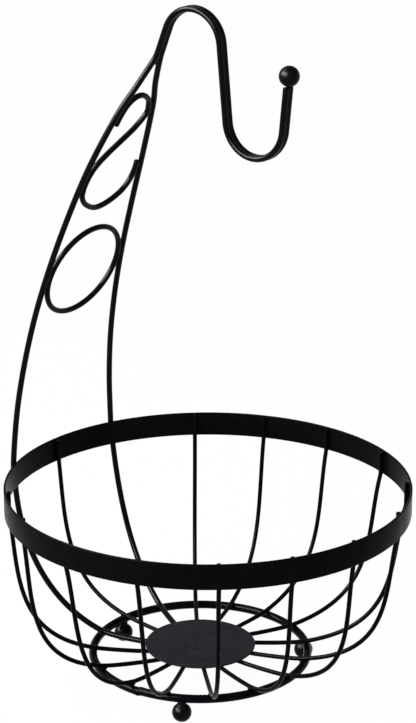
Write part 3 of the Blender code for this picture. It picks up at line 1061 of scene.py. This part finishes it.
studio = {
    "floorSize": 24,
    "floorColour": (0.90, 0.90, 0.90),
    "floorRoughness": 0.9,
    "floorGleam": 0.1,
    "floorGlow": 0.972,  # share of plain white that the eye sees on the floor, the rest is its shading
    "skyLow": 1.0,
    "skyHigh": 0.30,
    "skyFade": (0.26, 0.38),  # heights, as sines, between which the sky dims
    "lens": 114.5,
    "sensorWidth": 36,
    "farClip": 60,
    "viewAzimuth": 38,
    "viewDistance": 1.42013,
    "viewRise": 0.5690,
    "viewDip": 18.83,
    "lampAim": 0.2,  # height that every lamp faces
}
# lamps at an azimuth to the right of the camera; the one marked glossOnly shows in the gloss alone
softboxes = {
    "softboxLeft": {"azimuth": -62, "elevation": 35, "distance": 2.0, "size": (1.6, 0.95), "watts": 38},
    "gleamLeft": {
        "azimuth": -68, "elevation": 35, "distance": 2.0, "size": (2.5, 1.2), "watts": 440, "glossOnly": True,
    },
    "softboxHigh": {"azimuth": -110, "elevation": 62, "distance": 2.0, "size": (0.4, 0.3), "watts": 10},
    "softboxRight": {"azimuth": 48, "elevation": 58, "distance": 2.2, "size": (0.5, 0.4), "watts": 3},
    "softboxBack": {"azimuth": -150, "elevation": 42, "distance": 2.2, "size": (0.3, 0.9), "watts": 3},
}


def mixWhite(tree, shaderSocket, surfaceSocket):
    # the floor seen directly or in a gloss is mostly plain white, with a little of its shading
    look = tree.nodes.new("ShaderNodeLightPath")
    direct = mathNode(tree, "ADD", look.outputs["Is Camera Ray"], look.outputs["Is Glossy Ray"])
    looking = mathNode(tree, "MINIMUM", mathNode(tree, "ADD", direct, look.outputs["Is Transmission Ray"]), 1)
    white = tree.nodes.new("ShaderNodeEmission")
    white.inputs["Color"].default_value = (1, 1, 1, 1)
    white.inputs["Strength"].default_value = 1
    mix = tree.nodes.new("ShaderNodeMixShader")
    glow = mathNode(tree, "MULTIPLY", looking, studio["floorGlow"])
    tree.links.new(glow, mix.inputs["Fac"])
    tree.links.new(shaderSocket, mix.inputs[1])
    tree.links.new(white.outputs["Emission"], mix.inputs[2])
    tree.links.new(mix.outputs["Shader"], surfaceSocket)


def makeFloor():
    work = bmesh.new()
    bmesh.ops.create_grid(work, x_segments=8, y_segments=8, size=studio["floorSize"] / 2)
    mesh = bpy.data.meshes.new("floor")
    work.to_mesh(mesh)
    work.free()
    floor = bpy.data.objects.new("floor", mesh)
    bpy.context.scene.collection.objects.link(floor)
    paper = bpy.data.materials.new("floorPaper")
    paper.use_nodes = True
    shader = paper.node_tree.nodes["Principled BSDF"]
    shader.inputs["Base Color"].default_value = (*studio["floorColour"], 1)
    shader.inputs["Roughness"].default_value = studio["floorRoughness"]
    shader.inputs["Specular IOR Level"].default_value = studio["floorGleam"]
    output = paper.node_tree.nodes["Material Output"]
    mixWhite(paper.node_tree, shader.outputs["BSDF"], output.inputs["Surface"])
    mesh.materials.append(paper)


def makeSky():
    world = bpy.data.worlds.new("studioSky")
    world.use_nodes = True
    tree = world.node_tree
    glow = tree.nodes["Background"]
    place = tree.nodes.new("ShaderNodeTexCoord")
    split = tree.nodes.new("ShaderNodeSeparateXYZ")
    tree.links.new(place.outputs["Generated"], split.inputs[0])
    fade = spread(tree, split.outputs["Z"], *studio["skyFade"])
    fade.interpolation_type = "SMOOTHSTEP"
    fade.inputs["To Min"].default_value = studio["skyLow"]
    fade.inputs["To Max"].default_value = studio["skyHigh"]
    tree.links.new(fade.outputs["Result"], glow.inputs["Color"])
    glow.inputs["Strength"].default_value = 1
    bpy.context.scene.world = world


def makeSoftbox(name, look):
    lamp = bpy.data.lights.new(name, "AREA")
    lamp.shape = "RECTANGLE"
    lamp.size, lamp.size_y = look["size"]
    lamp.energy = look["watts"]
    box = bpy.data.objects.new(name, lamp)
    bpy.context.scene.collection.objects.link(box)
    away = math.radians(180 + studio["viewAzimuth"] + look["azimuth"])
    lift = math.radians(look["elevation"])
    direction = Vector((math.cos(away) * math.cos(lift), math.sin(away) * math.cos(lift), math.sin(lift)))
    box.location = Vector((0, 0, studio["lampAim"])) + look["distance"] * direction
    box.rotation_euler = direction.to_track_quat("Z", "Y").to_euler()
    box.visible_diffuse = not look.get("glossOnly", False)


def makeCamera():
    lens = bpy.data.cameras.new("camera")
    lens.lens = studio["lens"]
    lens.sensor_width = studio["sensorWidth"]
    lens.clip_end = studio["farClip"]
    camera = bpy.data.objects.new("camera", lens)
    bpy.context.scene.collection.objects.link(camera)
    azimuth = math.radians(studio["viewAzimuth"])
    away, height = studio["viewDistance"], bowl["height"] + studio["viewRise"]
    camera.location = (-away * math.cos(azimuth), -away * math.sin(azimuth), height)
    camera.rotation_euler = (math.radians(90 - studio["viewDip"]), 0, azimuth - math.pi / 2)
    bpy.context.scene.camera = camera


makeFloor()
makeSky()
for name, look in softboxes.items():
    makeSoftbox(name, look)
makeCamera()
bpy.context.scene.view_settings.view_transform = "Standard"
print("studio set")
